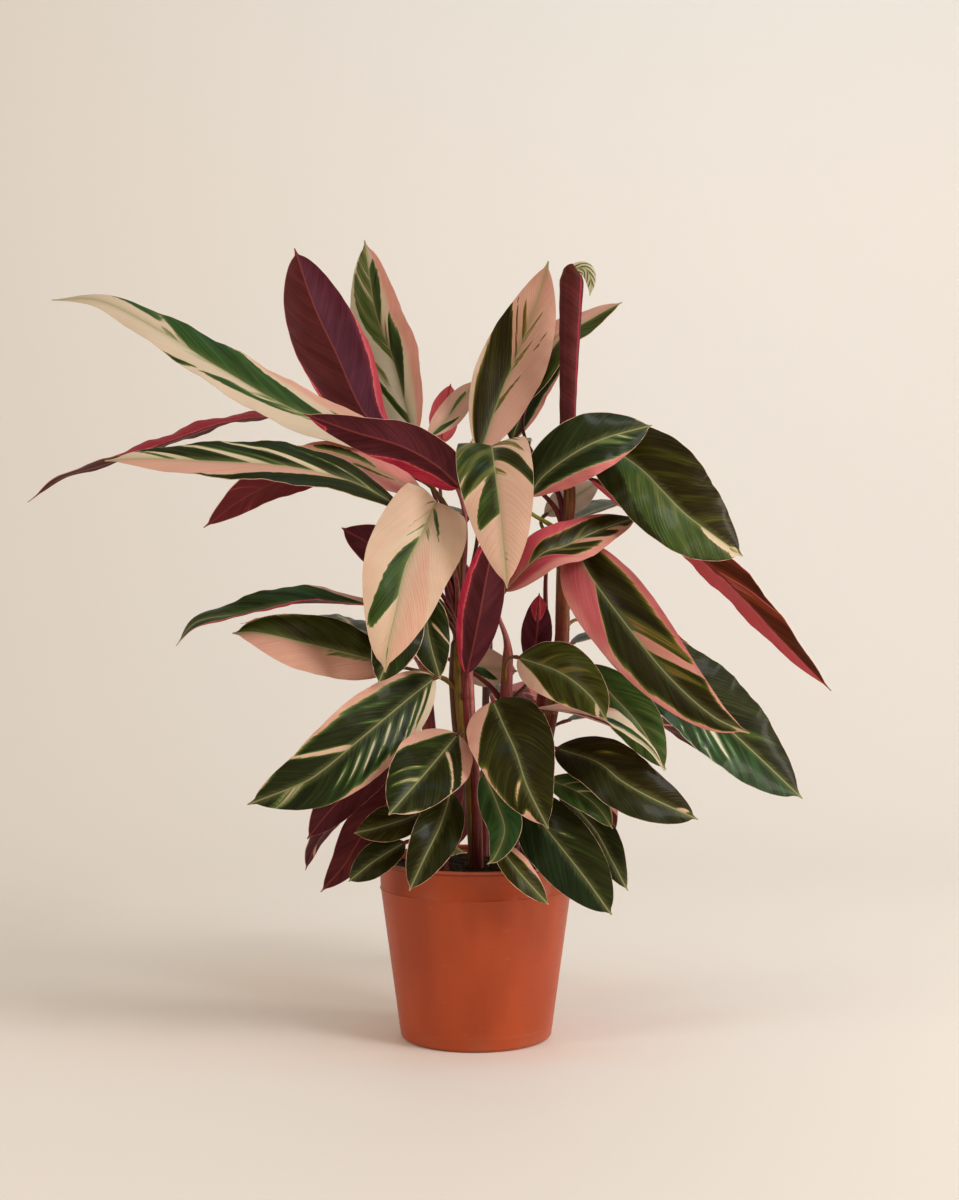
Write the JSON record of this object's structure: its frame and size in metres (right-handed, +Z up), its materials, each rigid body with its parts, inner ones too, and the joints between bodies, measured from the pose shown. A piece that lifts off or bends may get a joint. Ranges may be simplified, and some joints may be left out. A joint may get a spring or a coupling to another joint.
{
  "type": "potted stromanthe",
  "caption": "Stromanthe house plant with long variegated leaves on slim canes, rooted in soil in a tapered plastic pot.",
  "frame": {"origin": "centre of the pot's flat foot", "axes": "+Z up the plant, -Y towards the side that the picture shows, +X to its right"},
  "size_m": [0.7361, 0.4789, 0.7091],
  "materials": {
    "pot_plastic": "satin",
    "soil": "matte",
    "stalk": "satin",
    "leaf": "satin",
    "dry_leaf": "matte"
  },
  "bodies": {
    "root": {"pot": "pot_plastic", "soil": "soil", "cane_left": "stalk", "cane_middle": "stalk", "cane_right": "stalk", "shoot_front_left": "stalk", "shoot_front_right": "stalk", "back_shoot_left": "leaf", "back_shoot_middle": "leaf", "back_shoot_right": "leaf", "rolled_leaf": "leaf", "leaf_top_1": "leaf", "leaf_top_2": "leaf", "leaf_top_3": "leaf", "leaf_top_4": "leaf", "leaf_top_5": "leaf", "leaf_top_6": "leaf", "leaf_top_7": "leaf", "leaf_left_1": "leaf", "leaf_left_2": "leaf", "leaf_left_3": "leaf", "leaf_left_4": "leaf", "leaf_left_5": "leaf", "leaf_left_6": "leaf", "leaf_left_7": "leaf", "leaf_left_8": "leaf", "leaf_left_9": "leaf", "leaf_right_1": "leaf", "leaf_right_2": "leaf", "leaf_right_3": "leaf", "leaf_right_4": "leaf", "leaf_right_5": "leaf", "leaf_right_6": "leaf", "leaf_right_7": "leaf", "leaf_right_8": "leaf", "leaf_front_1": "leaf", "leaf_front_2": "leaf", "leaf_front_3": "leaf", "leaf_front_4": "leaf", "leaf_front_5": "leaf", "leaf_front_6": "leaf", "leaf_inner_1": "leaf", "leaf_inner_2": "leaf", "leaf_inner_3": "leaf", "leaf_inner_4": "leaf", "leaf_inner_5": "leaf", "leaf_inner_6": "leaf", "leaf_low_left_1": "leaf", "leaf_low_left_2": "leaf", "leaf_low_left_3": "leaf", "leaf_low_left_4": "leaf", "leaf_low_left_5": "leaf", "leaf_low_left_6": "leaf", "leaf_low_right_1": "leaf", "leaf_low_right_2": "leaf", "leaf_low_right_3": "leaf", "leaf_low_right_4": "leaf", "leaf_low_right_5": "leaf", "leaf_low_right_6": "leaf", "dry_leaf": "dry_leaf"}
  },
  "joints": []
}
